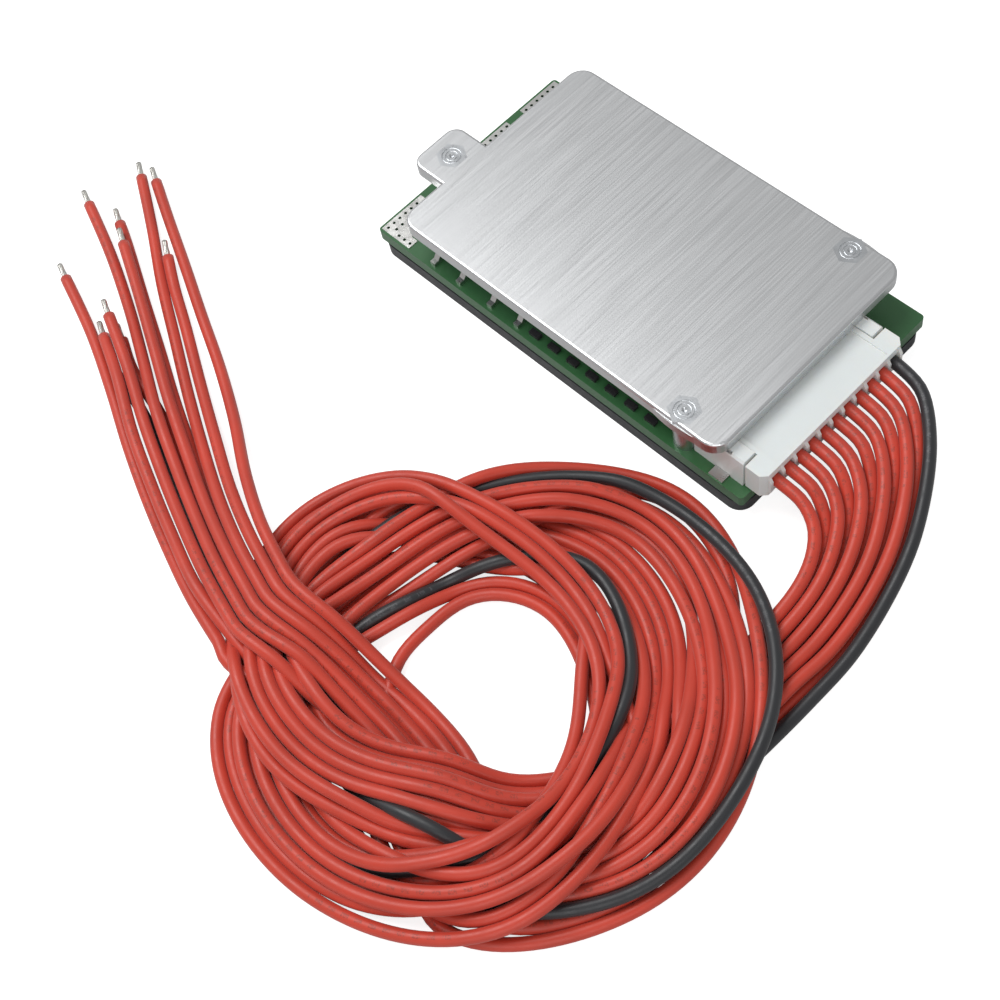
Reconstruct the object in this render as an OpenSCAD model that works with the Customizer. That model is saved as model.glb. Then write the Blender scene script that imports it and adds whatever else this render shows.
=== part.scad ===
// Battery management board: a circuit board between a base plate and a heat
// spreader, with an eleven-way plug whose wires end in stripped, tinned tips.
// Millimetres, +Z up. The origin is the centre of the board's outline, on the
// surface that the base plate and the wires lie on. +X points to the plug.

/* [Board stack] */
// Length of the circuit board
board_l = 60; // [58:0.5:66]
// Width of the circuit board
board_w = 32; // [30:0.5:35]
// Thickness of the circuit board
board_t = 1.6; // [1:0.1:2]
// Thickness of the base plate
base_t = 1.8; // [1.4:0.1:2.2]
// Corner radius of the base plate
base_corner_r = 2; // [0.5:0.1:3]
// Thickness of the insulating film
film_t = 0.4; // [0.2:0.1:0.6]
// How far the film stays inside the base plate's outline
film_inset = 0.2; // [0.1:0.1:0.6]

/* [Heat spreader] */
// Thickness of the heat spreader
plate_t = 1.6; // [1.2:0.1:2]
// Height of the space between circuit board and heat spreader
plate_gap = 4.7; // [4.7:0.1:5.5]
// Corner radius of the heat spreader
plate_corner_r = 2.3; // [0.8:0.1:3]
// Rolled radius of its top edge
plate_edge_r = 0.35; // [0.1:0.05:0.6]
// Length of circuit board left open at the pad end
pad_strip = 5.6; // [5.2:0.1:6]
// Length of circuit board left open at the plug end
plug_strip = 3.4; // [2.8:0.1:3.8]
// How far the tab reaches beyond the heat spreader
tab_l = 5.5; // [4.8:0.1:5.6]
// Width of the tab
tab_w = 7.8; // [6:0.1:9]
// Distance of the tab's middle from the board's middle
tab_shift = 4.9; // [2:0.1:8]
// Corner radius of the tab
tab_corner_r = 1.7; // [0.8:0.1:2.2]

/* [Standoffs] */
// Width across the flats of the standoffs' heads
head_af = 3.5; // [3.3:0.1:4]
// Height of the heads
head_h = 1; // [0.6:0.1:1.1]
// Diameter of the standoffs' barrels
barrel_d = 3; // [2.8:0.05:3.2]
// Distance from a long edge to the standoff beside it
edge_to_standoff = 1.9; // [1.8:0.1:2.6]
// Distance from the plug end to the two standoffs beside it
end_to_standoffs = 9.8; // [9.2:0.1:11]
// Distance from the pad end to the tab's standoff
end_to_tab_standoff = 3.5; // [3.2:0.1:4]

/* [Screws] */
// Thread diameter
thread_d = 2; // [1.6:0.1:2]
// Countersunk head's diameter
screw_head_d = 3.6; // [3.2:0.1:3.7]
// Gap round a screw in the plates and the circuit board
screw_clearance = 0.1; // [0.05:0.05:0.2]
// Length of thread inside a standoff
thread_grip = 3; // [2:0.1:3.6]

/* [Connector] */
// Distance between neighbouring wires in the plug
pitch = 2; // [1.9:0.05:2.1]
// Distance of the connector's middle from the board's middle
header_shift = 2.6; // [1.6:0.1:3]
// Depth of the header from back to front
header_depth = 7.1; // [6.8:0.1:7.2]
// Height of the header
header_h = 4.6; // [4.5:0.05:4.7]
// Width of each of the header's end blocks
cheek_w = 2; // [1.6:0.1:2.2]
// Thickness of the header's side walls beside the plug
side_wall = 0.8; // [0.6:0.1:1]
// Distance from the header's front to the board's end
header_front = 1.1; // [0.8:0.1:1.2]
// Length of the header's roof
roof_l = 3.7; // [3.3:0.1:4.2]
// Thickness of the header's back wall
back_wall = 1.4; // [1:0.1:1.6]
// Thickness of the header's floor
floor_t = 0.7; // [0.5:0.05:0.8]
// Thickness of the header's roof
roof_t = 0.7; // [0.5:0.05:0.8]
// Height of the pins above the circuit board
pin_z = 2.3; // [2.25:0.05:2.4]
// Thickness of the square pins
pin_d = 0.5; // [0.4:0.05:0.55]
// Gap between plug and header
plug_clearance = 0.1; // [0.05:0.05:0.15]
// Depth of the plug's flange
flange_l = 2.7; // [2.3:0.1:3.1]
// Length of the teeth between the wires
tooth_l = 0.4; // [0.2:0.1:0.8]

/* [Wires] */
// Outer diameter of a wire
wire_d = 1.5; // [1.3:0.05:1.5]
// Diameter of the bare strands
strand_d = 0.62; // [0.5:0.02:0.8]
// Length of the bare strands
strand_l = 2.3; // [1.5:0.1:3]

/* [Hidden] */
$fn = 48;
ways = 11;

z_film = base_t;
z_board = z_film + film_t;
z_top = z_board + board_t;
z_plate = z_top + plate_gap;
z_axis = z_top + pin_z;

pad_end = -board_l / 2;
plug_end = board_l / 2;
side = board_w / 2;
plate_x0 = pad_end + pad_strip;
plate_x1 = plug_end - plug_strip;
plate_cx = (plate_x0 + plate_x1) / 2;

// The three standoffs: one in the tab and one beside each long edge.
posts = [
    [pad_end + end_to_tab_standoff, -tab_shift],
    [plug_end - end_to_standoffs, side - edge_to_standoff],
    [plug_end - end_to_standoffs, edge_to_standoff - side]
];
bulge = 0.25;           // how far the edge swells beside a standoff
bulge_l = 6;            // over this length of edge
bulge_r = (pow(bulge_l / 2, 2) + bulge * bulge) / (2 * bulge);
sink_h = (screw_head_d - thread_d) / 2;

// Connector, worked out from the pitch and the number of ways.
nose_w = (ways - 1) * pitch + 2.1;
well_w = nose_w + 2 * plug_clearance;
header_w = well_w + 2 * side_wall;
mouth_w = header_w - 2 * cheek_w;
front_x = plug_end - header_front;
header_x = front_x - header_depth;
nose_z = floor_t + plug_clearance;
nose_h = header_h - roof_t - plug_clearance - nose_z;
plug_h = header_h - 0.2 - nose_z;
nose_x = header_x + back_wall + 0.2;
flange_x = front_x + 0.3;
exit_x = flange_x + flange_l;
cavity_w = wire_d + 0.05;
cavity_h = 2;
crimp_x = exit_x - 2.4; // where a wire meets its contact
contact_w = 1.3;
contact_h = 1.6;
pin_x = header_x - 0.6; // where a pin turns down into the board
pin_hole_d = pin_d * sqrt(2) + 0.1;
function way_y(i) = -header_shift + (i - (ways - 1) / 2) * pitch;

// Small parts on the board.
fet_pitch = 10;
fet_w = 6.5;
fet_l = 6.1;
fet_h = 2.3;
fet_x = pad_end + 11.9;
fet_lead = 2.6;
fet_edge = side - 0.5;
fet_row_y = fet_edge - fet_lead - fet_l / 2;
solder_t = 0.1;
pad_in = 0.35;          // bare margin round the board's edge
pad_l = 4;
via_d = 0.4;
via_pitch = 1;
cell_x0 = fet_x + fet_pitch + 7.4;
cell_pitch = 3.5;
cells = floor((plug_end - end_to_standoffs - 2.2 - cell_x0) / cell_pitch) + 1;
chip_x = cell_x0 + 0.6;

// The wound part of the wires: one ring, with room for the wires that run in
// underneath it and for those that leave over it.
coil_centre = [22, -49];
coil_r = 30;
coil_hole_r = 11;
coil_h = 6.6;
coil_round = 2.2;
lead_face_y = -40;
lead_room_z = 3.4;
tail_face_x = -1;
tail_floor_z = 2.4;

// Each wire from plug to coil, the last one black.
LEADS = [
    [[36, -12.9, 6], [38.6, -14.2, 5.5], [40.2, -16.2, 4.8], [41.2, -18.8, 4], [41.6, -22, 3.1],
     [41.6, -26, 2.5], [41.5, -30.5, 2.4], [41.4, -35, 2.4], [41.2, -40, 2.4]],
    [[36.1, -11, 6], [38.8, -12.5, 4.7], [40.6, -14.8, 3.5], [41.8, -17.8, 2.4], [42.3, -21.3, 1.5],
     [42.4, -25.6, 0.9], [42.3, -30.3, 0.8], [42.2, -35, 0.8], [42, -40, 0.8]],
    [[36.2, -9.1, 6], [39.1, -10.9, 5.5], [41, -13.5, 4.8], [42.4, -16.8, 4], [43.1, -20.6, 3.2],
     [43.2, -25.2, 2.5], [43.1, -30, 2.4], [43, -35, 2.4], [42.8, -40, 2.4]],
    [[36.3, -7.2, 6], [39.3, -9.2, 4.7], [41.5, -12.1, 3.5], [43, -15.7, 2.4], [43.8, -19.9, 1.5],
     [44.1, -24.8, 0.9], [43.9, -30, 0.8], [43.8, -35, 0.8], [43.6, -40, 0.8]],
    [[36.4, -5.3, 6], [39.6, -7.6, 5.5], [41.9, -10.8, 4.8], [43.6, -14.7, 4], [44.6, -19.2, 3.2],
     [44.9, -24.4, 2.5], [44.7, -29.8, 2.4], [44.6, -35, 2.4], [44.4, -40, 2.4]],
    [[36.5, -3.3, 6], [39.8, -5.9, 4.7], [42.3, -9.4, 3.5], [44.3, -13.7, 2.4], [45.3, -18.5, 1.5],
     [45.8, -24, 0.9], [45.5, -29.6, 0.8], [45.4, -35, 0.8], [45.2, -40, 0.8]],
    [[36.6, -1.4, 6], [40, -4.2, 5.5], [42.7, -8, 4.8], [44.9, -12.7, 4], [46.1, -17.8, 3.2],
     [46.6, -23.6, 2.5], [46.3, -29.4, 2.4], [46.2, -35, 2.4], [46, -40, 2.4]],
    [[36.7, 0.5, 6], [40.3, -2.6, 4.7], [43.1, -6.7, 3.5], [45.5, -11.7, 2.4], [46.8, -17.1, 1.5],
     [47.4, -23.2, 0.9], [47.1, -29.2, 0.8], [47, -35, 0.8], [46.8, -40, 0.8]],
    [[36.8, 2.4, 6], [40.5, -0.9, 5.5], [43.6, -5.3, 4.8], [46.1, -10.6, 4], [47.6, -16.4, 3.2],
     [48.3, -22.8, 2.5], [47.9, -29, 2.4], [47.8, -35, 2.4], [47.6, -40, 2.4]],
    [[36.9, 4.3, 6], [40.8, 0.7, 4.7], [44, -4, 3.5], [46.7, -9.6, 2.4], [48.3, -15.7, 1.5],
     [49.1, -22.4, 0.9], [48.8, -28.8, 0.8], [48.6, -35, 0.8], [48.4, -40, 0.8]],
    [[37, 6.2, 6.1], [41, 2.4, 5.2], [44.4, -2.6, 4.2], [47.3, -8.6, 3.3], [49.1, -15, 2.4],
     [50.2, -22, 1.7], [50.2, -28.6, 1.6], [50, -35, 1.6], [49.7, -40, 1.6]]
];

// Each wire from the coil to its stripped end, the last one black.
TAILS = [
    [[-1, -56.4, 5.4], [-8.5, -54, 4.6], [-16, -50.6, 3.3], [-24, -46.2, 1.6], [-32, -42.2, 0.8],
     [-40, -38.6, 0.8], [-48, -34.9, 0.8], [-56, -31.3, 0.8], [-62, -28.5, 0.8]],
    [[-1, -58, 5.4], [-8.5, -55.8, 4.6], [-16, -53, 3.3], [-24, -49.3, 1.8], [-32, -45.4, 0.8],
     [-40, -41.2, 0.8], [-46, -38.2, 0.8], [-50.3, -35.9, 0.8]],
    [[-1, -59.6, 5.4], [-8.5, -57.5, 4.6], [-16, -54.8, 3.2], [-24, -51.3, 1.6], [-32, -47.4, 0.8],
     [-40, -43.1, 0.8], [-48, -38.8, 0.8], [-56, -34, 0.8], [-64.3, -29.3, 0.8]],
    [[-1, -61.2, 5.4], [-8.5, -59.1, 4.6], [-16, -56.6, 3.3], [-24, -53.4, 2.4], [-32, -49.9, 2.3],
     [-40, -46, 2.3], [-48, -42.1, 2.3], [-55.9, -38.4, 2.3]],
    [[-1, -60.4, 3.8], [-8.5, -58.3, 3], [-16, -55.8, 1.7], [-24, -52.8, 0.8], [-32, -49.4, 0.8],
     [-40, -45.6, 0.8], [-48, -41.9, 0.8], [-56, -38.1, 0.8], [-60.3, -36.2, 0.8]],
    [[-1, -62.8, 5.4], [-8.5, -60.8, 4.6], [-16, -58.3, 3.3], [-24, -55.3, 2.4], [-32, -51.9, 2.4],
     [-40, -48, 1.7], [-48, -44.2, 0.9], [-57, -40.3, 0.8], [-66.3, -36.9, 0.8]],
    [[-1, -62, 3.8], [-8.5, -60, 3], [-16, -57.5, 1.7], [-24, -54.8, 0.8], [-32, -51.7, 0.8],
     [-40, -49.9, 0.8], [-45, -47.8, 0.8]],
    [[-1, -64.4, 5.4], [-8.5, -62.5, 4.6], [-16, -60.1, 3.3], [-24, -57.2, 2.4], [-32, -53.9, 2.4],
     [-40, -50.2, 2.4], [-48.1, -46.9, 2.4]],
    [[-1, -65.2, 3.8], [-8.5, -64.1, 4.2], [-16, -61.8, 3.2], [-24, -59, 2.4], [-32, -55.8, 2.4],
     [-40, -51.9, 2.4], [-46.6, -49.2, 1.7]],
    [[-1, -66.8, 3.8], [-8.5, -65.2, 2.9], [-16, -63, 1.8], [-24, -60.3, 0.9], [-32, -57.1, 0.8],
     [-40, -53.5, 0.8], [-49, -49.8, 0.8], [-58.8, -46.6, 0.8]],
    [[-1, -63.6, 3.8], [-8.5, -61.7, 3], [-16, -59.3, 1.7], [-24, -56.6, 0.8], [-32, -53.6, 0.8],
     [-40.4, -51.4, 0.8]]
];

// ---- helpers ----

module rounded(l, w, r) {
    square([l - 2 * r, w], center = true);
    square([l, w - 2 * r], center = true);
    for (x = [-1, 1], y = [-1, 1])
        translate([x * (l / 2 - r), y * (w / 2 - r)]) circle(r);
}

module slab(l, w, t, r) {
    linear_extrude(t) rounded(l, w, r);
}

module box(x0, x1, y0, y1, z0, z1) {
    translate([x0, y0, z0]) cube([x1 - x0, y1 - y0, z1 - z0]);
}

// A profile drawn in X and Z, extruded along Y about y = 0.
module along_y(w) {
    rotate([90, 0, 0]) linear_extrude(w, center = true) children();
}

// A profile drawn in Y and Z, extruded along X from x = 0.
module along_x(l) {
    rotate([90, 0, 90]) linear_extrude(l) children();
}

module at_posts(z) {
    for (p = posts) translate([p[0], p[1], z]) children();
}

// A bent lead's side view: foot on the board, riser, shoulder into the body.
module gull(reach, rise, t) {
    foot = reach * 0.45;
    polygon([
        [0, 0], [foot, 0], [foot + t, rise - t], [reach, rise - t],
        [reach, rise], [foot, rise], [foot - t, t], [0, t]
    ]);
}

// ---- wires ----

function along(a, b, c, d, t) = 0.5 * (2 * b + (c - a) * t
    + (2 * a - 5 * b + 4 * c - d) * t * t + (3 * b - 3 * c + d - a) * t * t * t);
function smooth(p, n) = concat(
    [for (i = [0 : len(p) - 2], k = [0 : n - 1])
        along(p[max(i - 1, 0)], p[i], p[i + 1], p[min(i + 2, len(p) - 1)], k / n)],
    [p[len(p) - 1]]);
function unit(v) = v / norm(v);
function tangent(p, i, first, last) = i == 0 ? first
    : i == len(p) - 1 ? last : unit(p[i + 1] - p[i - 1]);

// A closed tube along p, its end faces square to the directions first and last.
module tube(p, d, first, last, sides = 8) {
    rings = [for (i = [0 : len(p) - 1])
        let (t = tangent(p, i, first, last), u = unit(cross([0, 0, 1], t)), v = cross(t, u))
        [for (k = [0 : sides - 1])
            let (a = (k + 0.5) * 360 / sides)
            p[i] + d / 2 * (cos(a) * u + sin(a) * v)]];
    ends = len(p) - 1;
    polyhedron(
        points = [for (r = rings, q = r) q],
        faces = concat(
            [[for (k = [0 : sides - 1]) k]],
            [[for (k = [sides - 1 : -1 : 0]) ends * sides + k]],
            [for (i = [0 : ends - 1], k = [0 : sides - 1])
                let (a = i * sides + k, b = i * sides + (k + 1) % sides)
                [a, a + sides, b + sides]],
            [for (i = [0 : ends - 1], k = [0 : sides - 1])
                let (a = i * sides + k, b = i * sides + (k + 1) % sides)
                [a, b + sides, b]]),
        convexity = 4);
}

function lead_route(i) = concat(
    [[crimp_x, way_y(i), z_axis], [exit_x + 1, way_y(i), z_axis]], LEADS[i]);
function tail_end(i) = TAILS[i][len(TAILS[i]) - 1];
function tail_way(i) = unit(tail_end(i) - TAILS[i][len(TAILS[i]) - 2]);

module lead(i) {
    color(i == ways - 1 ? "#232528" : "#cd4b37")
        tube(smooth(lead_route(i), 2), wire_d, [1, 0, 0], [0, -1, 0]);
}

module tail(i) {
    color(i == ways - 1 ? "#232528" : "#cd4b37")
        tube(smooth(TAILS[i], 2), wire_d, [-1, 0, 0], tail_way(i));
}

module wire_coil() {
    flat = coil_r - coil_hole_r - 2 * coil_round;
    color("#c04432") difference() {
        translate([coil_centre[0], coil_centre[1], 0]) rotate_extrude($fn = 120) {
            translate([coil_hole_r, coil_round]) square([flat + 2 * coil_round, coil_h - 2 * coil_round]);
            translate([coil_hole_r + coil_round, 0]) square([flat, coil_h]);
            for (x = [coil_hole_r + coil_round, coil_r - coil_round], z = [coil_round, coil_h - coil_round])
                translate([x, z]) circle(coil_round, $fn = 24);
        }
        box(lead_x0, lead_x1, lead_face_y, 0, -1, lead_room_z);
        box(-50, tail_face_x, tail_y0, tail_y1, tail_floor_z, 20);
    }
}
lead_x0 = LEADS[0][8][0] - wire_d;
lead_x1 = LEADS[ways - 1][8][0] + 10;
tail_y0 = TAILS[9][0][1] - 6;
tail_y1 = TAILS[0][1][1] + wire_d;

module tinned_ends() {
    color("#b9b7ae") for (i = [0 : ways - 1]) {
        w = tail_way(i);
        translate(tail_end(i))
            rotate([0, acos(w[2]), atan2(w[1], w[0])])
                cylinder(h = strand_l, d = strand_d, $fn = 24);
    }
}

// ---- board stack ----

module base_plate() {
    color("#2c2e30") difference() {
        slab(board_l, board_w, base_t, base_corner_r);
        at_posts(0) {
            cylinder(h = 3 * base_t, d = thread_d + 2 * screw_clearance, center = true);
            translate([0, 0, -0.01])
                cylinder(h = sink_h + 0.01, d1 = screw_head_d + 0.02, d2 = thread_d);
        }
    }
}

module insulating_film() {
    color("#1b1c1e") difference() {
        translate([0, 0, z_film])
            slab(board_l - 2 * film_inset, board_w - 2 * film_inset, film_t, base_corner_r);
        at_posts(z_film) cylinder(h = 3 * film_t, d = thread_d + 2 * screw_clearance, center = true);
    }
}

// The tinned areas at the pad end: [y low, y high, rows of vias].
pad_areas = [
    [side - 6.8, side - pad_in, 1],
    [-1.4, side - 9.3, 1],
    [pad_in - side, 7.2 - side, 2]
];
edge_pad_l = 5.4;       // the last one turns along the long edge
edge_pad_w = 1.5;

module at_vias() {
    x0 = pad_end + pad_in + 0.6;
    for (a = pad_areas, row = [0 : a[2] - 1])
        for (y = [a[0] + 0.6 + row * via_pitch / 2 : via_pitch : a[1] - 0.4])
            translate([x0 + row * via_pitch, y, 0]) children();
    for (x = [x0 + 2 * via_pitch : via_pitch : pad_end + edge_pad_l - 0.4])
        translate([x, pad_in + 0.6 - side, 0]) children();
}

module circuit_board() {
    color("#3a7d4c") difference() {
        translate([0, 0, z_board]) slab(board_l, board_w, board_t, 0.5);
        at_posts(z_board) cylinder(h = 3 * board_t, d = thread_d + 2 * screw_clearance, center = true);
        at_vias() translate([0, 0, z_board - 1]) cylinder(h = board_t + 2, d = via_d, $fn = 16);
        for (i = [0 : ways - 1])
            translate([pin_x + pin_d / 2, way_y(i), z_board - 1]) cylinder(h = board_t + 2, d = pin_hole_d);
    }
}

module solder_pads() {
    x0 = pad_end + pad_in;
    color("#b9bbb6") difference() {
        for (a = pad_areas) box(x0, x0 + pad_l, a[0], a[1], z_top, z_top + solder_t);
        at_vias() translate([0, 0, z_top - 1]) cylinder(h = 2, d = via_d, $fn = 16);
        at_posts(z_top - 1) cylinder(h = 2, d = barrel_d + 0.9);
    }
    color("#b9bbb6") difference() {
        box(x0 + pad_l, pad_end + edge_pad_l, pad_in - side, pad_in + edge_pad_w - side,
            z_top, z_top + solder_t);
        at_vias() translate([0, 0, z_top - 1]) cylinder(h = 2, d = via_d, $fn = 16);
    }
}

module top_plate() {
    top = z_plate + plate_t;
    color("#c9cccd") difference() {
        union() {
            translate([plate_cx, 0, z_plate]) rolled(plate_x1 - plate_x0, board_w, plate_corner_r);
            translate([plate_x0 - tab_l / 2 + 3, -tab_shift, z_plate])
                rolled(tab_l + 6, tab_w, tab_corner_r);
            for (p = [posts[1], posts[2]]) swelling(p);
        }
        at_posts(top - head_h) rotate(30) cylinder(h = plate_t, d = head_af / cos(30), $fn = 6);
        at_posts(z_plate - 1) cylinder(h = plate_t + 2, d = barrel_d);
    }
}

// A plate with round corners whose top edge rolls over.
module rolled(l, w, r) {
    hull() {
        slab(l, w, plate_t - plate_edge_r, r, $fn = 32);
        for (k = [1 : 3]) {
            in = plate_edge_r * (1 - cos(30 * k));
            up = plate_t - plate_edge_r + plate_edge_r * sin(30 * k);
            slab(l - 2 * in, w - 2 * in, up, r - in, $fn = 32);
        }
    }
}

// The edge bulges a little where a standoff is pressed in beside it.
module swelling(p) {
    s = sign(p[1]);
    translate([p[0], s * (side + bulge - bulge_r), z_plate]) intersection() {
        cylinder(h = plate_t - plate_edge_r, r = bulge_r, $fn = 120);
        translate([-bulge_l / 2, s > 0 ? bulge_r - 2 : -bulge_r - 1, 0]) cube([bulge_l, 3, plate_t]);
    }
}

module standoffs() {
    top = plate_gap + plate_t;
    color("#aeb4b8") at_posts(z_top) difference() {
        union() {
            cylinder(h = top - head_h, d = barrel_d);
            translate([0, 0, top - head_h])
                rotate(30) cylinder(h = head_h, d = head_af / cos(30), $fn = 6);
        }
        translate([0, 0, -1]) cylinder(h = plate_gap + 1 - 0.4, d = thread_d);
        for (r = [0.75, 1.2])
            translate([0, 0, top]) rotate_extrude() translate([r, 0]) circle(0.09, $fn = 16);
        translate([0, 0, top - 0.25]) cylinder(h = 0.26, d1 = 0, d2 = 0.7);
    }
}

module base_screws() {
    color("#8d9296") at_posts(0) difference() {
        union() {
            cylinder(h = sink_h, d1 = screw_head_d, d2 = thread_d);
            cylinder(h = z_top + thread_grip, d = thread_d);
        }
        for (a = [0, 90]) rotate(a) cube([1.8, 0.4, 1.2], center = true);
    }
}

// ---- parts on the board ----

// The four power transistors: two beside each long edge, leads outwards.
module at_fets() {
    for (s = [-1, 1], k = [0, 1])
        translate([fet_x + k * fet_pitch, s * fet_row_y, z_top]) rotate(s > 0 ? 180 : 0) children();
}

module mosfet_bodies() {
    color("#26282a") at_fets() translate([0, 0, 0.1]) along_y(fet_l)
        polygon([[-fet_w / 2, 0], [fet_w / 2, 0], [fet_w / 2, 0.9], [fet_w / 2 - 0.3, fet_h - 0.1],
                 [0.3 - fet_w / 2, fet_h - 0.1], [-fet_w / 2, 0.9]]);
}

module mosfet_leads() {
    color("#b7babb") at_fets() for (x = [-1, 1])
        translate([x * 2.29 - 0.4, -fet_l / 2 - fet_lead, 0]) along_x(0.8) gull(fet_lead, 1.1, 0.5);
}

module mosfet_tabs() {
    color("#b7babb") at_fets() translate([0, fet_l / 2, 0]) linear_extrude(0.5)
        polygon([[-2.7, 0], [2.7, 0], [2.7, 0.7], [2.2, 1.2], [-2.2, 1.2], [-2.7, 0.7]]);
}

module thermal_pads() {
    color("#9aa3a8") for (s = [-1, 1])
        translate([fet_x + fet_pitch / 2, s * fet_row_y, z_top + fet_h])
            slab(fet_pitch + fet_w + 1, fet_l - 0.4, plate_gap - fet_h, 0.6);
}

module shunt_resistors() {
    color("#2b2d2f") for (k = [-1, 0, 1])
        translate([fet_x + fet_pitch / 2 + k * 7, 0, z_top]) chip_part(6.3, 3.1, 0.6, 0.9);
}

// A flat chip part with its two end caps standing slightly proud.
module chip_part(l, w, h, cap) {
    translate([0, 0, 0.05]) slab(l - 2 * cap, w, h - 0.05, 0.05);
    for (s = [-1, 1]) translate([s * (l - cap) / 2, 0, 0]) slab(cap, w, h + 0.03, 0.1);
}

module at_cells() {
    for (s = [-1, 1], k = [0 : cells - 1])
        translate([cell_x0 + k * cell_pitch, s * (side - 7.2), z_top]) rotate(s > 0 ? 180 : 0) children();
}

module balance_resistors() {
    color("#303234") at_cells() rotate(90) chip_part(3.2, 1.6, 0.6, 0.5);
}

module balance_transistors() {
    color("#27292b") at_cells() translate([0, -3.7, 0.1]) along_y(1.3)
        polygon([[-1.45, 0], [1.45, 0], [1.45, 0.4], [1.3, 0.95], [-1.3, 0.95], [-1.45, 0.4]]);
    color("#b7babb") at_cells() {
        for (x = [-0.95, 0.95]) translate([x - 0.2, -3.7 - 1.2, 0]) along_x(0.4) gull(0.55, 0.6, 0.12);
        translate([0.2, -3.7 + 1.2, 0]) rotate(180) along_x(0.4) gull(0.55, 0.6, 0.12);
    }
}

module at_chips() {
    for (y = [-3.2, 3.2]) translate([chip_x + 3, y, z_top]) children();
}
chip_l = 6.2;
chip_w = 3.9;
chip_pins = 8;
chip_pitch = 0.65;

module protection_chips() {
    color("#232527") at_chips() translate([0, 0, 0.1]) difference() {
        along_y(chip_w)
            polygon([[-chip_l / 2, 0], [chip_l / 2, 0], [chip_l / 2, 0.6], [chip_l / 2 - 0.2, 1.2],
                     [0.2 - chip_l / 2, 1.2], [-chip_l / 2, 0.6]]);
        translate([0.7 - chip_l / 2, 0.8 - chip_w / 2, 1.15]) cylinder(h = 0.2, d = 0.6, $fn = 24);
    }
}

module chip_leads() {
    reach = 1;
    color("#b7babb") at_chips() for (s = [0, 1], k = [0 : chip_pins - 1])
        rotate(180 * s) translate([(k - (chip_pins - 1) / 2) * chip_pitch - 0.12, -chip_w / 2 - reach, 0])
            along_x(0.24) gull(reach, 0.7, 0.14);
}

module chip_capacitors() {
    color("#b39a78") for (s = [-1, 1], k = [0 : 2])
        translate([chip_x + 9.2, s * (1.4 + 1.9 * k), z_top]) chip_part(1.6, 0.8, 0.75, 0.35);
}

// The row of small resistors beside the near long edge.
edge_row_x0 = pad_end + 26.9;
edge_row_pitch = 3.1;
edge_row_n = floor((plug_end - end_to_standoffs - 2.6 - edge_row_x0) / edge_row_pitch) + 1;
module edge_resistors() {
    color("#2e3032") for (k = [0 : edge_row_n - 1])
        translate([edge_row_x0 + k * edge_row_pitch, 1.15 - side, z_top])
            chip_part(1.6, 0.8, 0.45, 0.3);
}

// ---- connector ----

module connector_header() {
    x1 = header_depth;
    anchor_x = roof_l - 0.6;
    color("#e6e6e1") translate([header_x, -header_shift, z_top]) difference() {
        // Outside: the end blocks lean in a little and lose their upper edges.
        along_x(header_depth)
            polygon([[-header_w / 2, 0], [header_w / 2, 0], [header_w / 2 - 0.12, header_h - 0.3],
                     [header_w / 2 - 0.4, header_h], [0.4 - header_w / 2, header_h],
                     [0.12 - header_w / 2, header_h - 0.3]]);
        // The well that takes the plug, open in front.
        box(back_wall, x1 + 1, -well_w / 2, well_w / 2, floor_t, header_h - roof_t);
        // In front of the roof it is open above too, between the end blocks.
        box(roof_l, x1 + 1, -mouth_w / 2, mouth_w / 2, floor_t, header_h + 1);
        // Slots for the solder anchors in the side walls, and their feet's way out.
        for (s = [-1, 1]) translate([0, s * (header_w / 2 - side_wall / 2), 0]) {
            box(anchor_x, anchor_x + 2.2, -0.2, 0.2, -1, header_h + 1);
            box(anchor_x, anchor_x + 2.2, s > 0 ? -0.2 : -5, s > 0 ? 5 : 0.2, -1, 0.3);
        }
        // Holes for the pins.
        for (i = [0 : ways - 1])
            translate([-1, way_y(i) + header_shift - pin_d / 2, pin_z - pin_d / 2])
                cube([back_wall + 2, pin_d, pin_d]);
        // Relief in the floor under the roof, as moulded.
        for (i = [0 : ways - 2])
            translate([back_wall + 0.6, way_y(i) + header_shift + pitch / 2 - 0.4, -1])
                cube([roof_l - back_wall - 1, 0.8, 1.3]);
    }
}

// Square pins that run level out of the plug, turn down and end inside the board.
module header_pins() {
    low = z_axis - pin_d / 2;
    tip = z_board + 0.1;
    color("#c7b98a") for (i = [0 : ways - 1]) translate([pin_x, way_y(i), 0]) along_y(pin_d) {
        translate([0, tip]) square([pin_d, low - tip]);
        translate([pin_d, low]) intersection() {
            circle(pin_d);
            translate([-pin_d, 0]) square(pin_d);
        }
        translate([pin_d, low]) square([nose_x + 3.8 - pin_x - pin_d, pin_d]);
    }
}

module header_anchors() {
    x = header_x + roof_l - 0.6;
    color("#b9bbb6") for (s = [-1, 1])
        translate([x + 0.1, s * (header_w / 2 - side_wall / 2) - header_shift, z_top]) {
            box(0, 2, -0.15, 0.15, 0, header_h - 0.5);
            box(0, 2, s > 0 ? 0.15 : -1.7, s > 0 ? 1.7 : -0.15, 0, 0.25);
        }
}

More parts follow.
